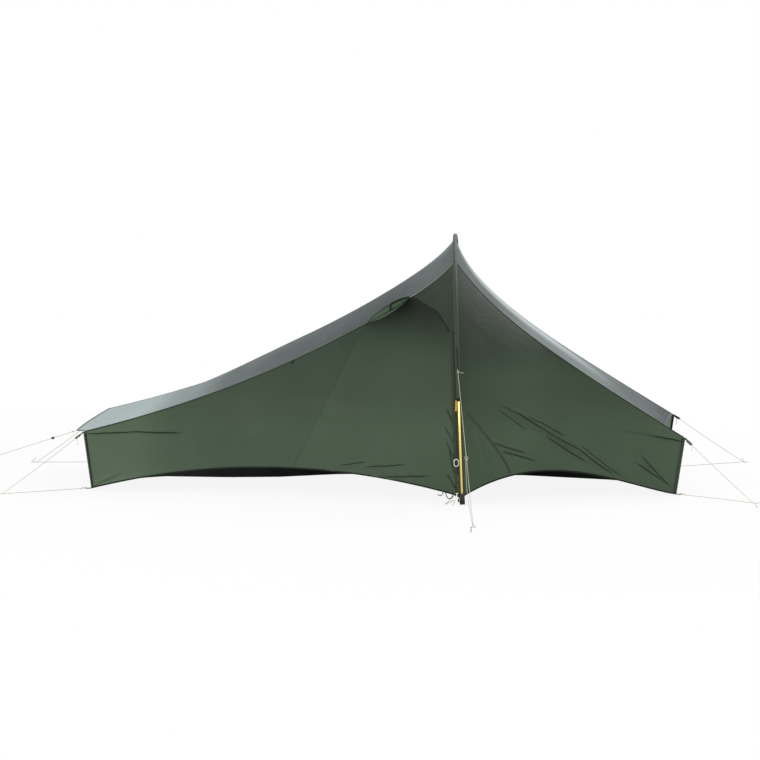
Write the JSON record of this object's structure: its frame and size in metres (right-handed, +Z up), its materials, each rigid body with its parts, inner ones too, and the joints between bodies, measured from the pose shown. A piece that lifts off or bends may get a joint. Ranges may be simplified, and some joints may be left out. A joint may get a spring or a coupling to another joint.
{
  "type": "backpacking tent",
  "caption": "Low single-arch backpacking tent with raised ends, a zipped side door, a hooded vent, a hung inner tent and guy lines to wire pegs.",
  "frame": {"origin": "on the ground, midway between the two ends and on the long centre line", "axes": "+X along the tent towards its short steep end, -Y towards the door, +Z up"},
  "size_m": [3.3639, 3.053, 1],
  "materials": {
    "fly_cloth": "coated ripstop, satin",
    "roof_cloth": "coated ripstop, satin",
    "black_trim": "woven tape",
    "black_webbing": "ribbed webbing",
    "black_plastic": "moulded, satin",
    "vent_netting": "fine mosquito mesh",
    "gold_pole": "gold anodised tube",
    "carbon_rod": "pultruded carbon",
    "guy_cord": "braided cord",
    "peg_metal": "bare wire",
    "inner_cloth": "light woven ripstop",
    "tub_cloth": "coated, waterproof"
  },
  "bodies": {
    "tent": {"arch_pole_section_1": "gold_pole", "arch_pole_section_2": "gold_pole", "arch_pole_section_3": "gold_pole", "arch_pole_section_4": "gold_pole", "arch_pole_section_5": "gold_pole", "arch_pole_section_6": "gold_pole", "arch_pole_shock_cord": "black_trim", "corner_line_lock_left_back": "black_plastic", "corner_line_lock_left_front": "black_plastic", "corner_line_lock_right_back": "black_plastic", "corner_line_lock_right_front": "black_plastic", "corner_strut_left_back": "carbon_rod", "corner_strut_left_front": "carbon_rod", "corner_strut_right_back": "carbon_rod", "corner_strut_right_front": "carbon_rod", "corner_webbing_left_back": "black_webbing", "corner_webbing_left_front": "black_webbing", "corner_webbing_right_back": "black_webbing", "corner_webbing_right_front": "black_webbing", "door_zip_fixed_tape": "black_trim", "fly_door_hood": "fly_cloth", "fly_end_left": "fly_cloth", "fly_end_right": "fly_cloth", "fly_roof_left": "roof_cloth", "fly_roof_right": "roof_cloth", "fly_wall_back_left": "fly_cloth", "fly_wall_back_right": "fly_cloth", "fly_wall_front_left": "fly_cloth", "fly_wall_front_right": "fly_cloth", "guy_arch_back": "guy_cord", "guy_arch_front": "guy_cord", "guy_corner_left_back": "guy_cord", "guy_corner_left_front": "guy_cord", "guy_corner_right_back": "guy_cord", "guy_corner_right_front": "guy_cord", "guy_end": "guy_cord", "inner_tub_floor": "tub_cloth", "inner_wall_back": "inner_cloth", "inner_wall_front": "inner_cloth", "peg_arch_back": "peg_metal", "peg_arch_front": "peg_metal", "peg_end": "peg_metal", "peg_left_back": "peg_metal", "peg_left_front": "peg_metal", "peg_right_back": "peg_metal", "peg_right_front": "peg_metal", "pole_foot_back": "black_plastic", "pole_foot_front": "black_plastic", "pole_foot_webbing_back": "black_webbing", "pole_foot_webbing_front": "black_webbing", "pole_sleeve": "fly_cloth", "vent_mesh": "vent_netting"},
    "door": {"fly_door": "fly_cloth", "door_zip_moving_tape": "black_trim"},
    "zip_slider": {"door_zip_slider": "peg_metal"},
    "zip_pull": {"door_zip_pull": "black_plastic"},
    "vent_cover": {"vent_hood": "fly_cloth", "vent_hood_stiffener": "black_plastic"},
    "inner_entry": {"inner_door": "inner_cloth"},
    "end_line_slider": {"guy_slider_end": "black_plastic"}
  },
  "joints": [
    {"name": "door_open", "type": "hinge", "parent": "tent", "child": "door", "pos_m": [-0.07378, -0.35812, 0.6628], "axis": [-0.423, -0.3244, -0.8461], "range_deg": [0, 110]},
    {"name": "zip_travel", "type": "hinge", "parent": "tent", "child": "zip_slider", "pos_m": [0.30654, 0, 0.18798], "axis": [-0.999, 0, -0.0449], "range_deg": [0, 43.7]},
    {"name": "zip_pull_swing", "type": "hinge", "parent": "zip_slider", "child": "zip_pull", "pos_m": [0.2993, -0.78422, 0.03748], "axis": [-0.999, 0, -0.0449], "range_deg": [0, 120]},
    {"name": "vent_fold", "type": "hinge", "parent": "tent", "child": "vent_cover", "pos_m": [-0.06219, -0.35723, 0.66936], "axis": [0.8575, 0.0716, 0.5095], "range_deg": [0, 40]},
    {"name": "inner_door_drop", "type": "hinge", "parent": "tent", "child": "inner_entry", "pos_m": [0.19, -0.12322, 0.1925], "axis": [1, 0, 0], "range_deg": [0, 105]},
    {"name": "end_line_slide", "type": "slide", "parent": "tent", "child": "end_line_slider", "axis": [-0.9497, 0, -0.3131], "range_m": [-0.06, 0.4]}
  ]
}
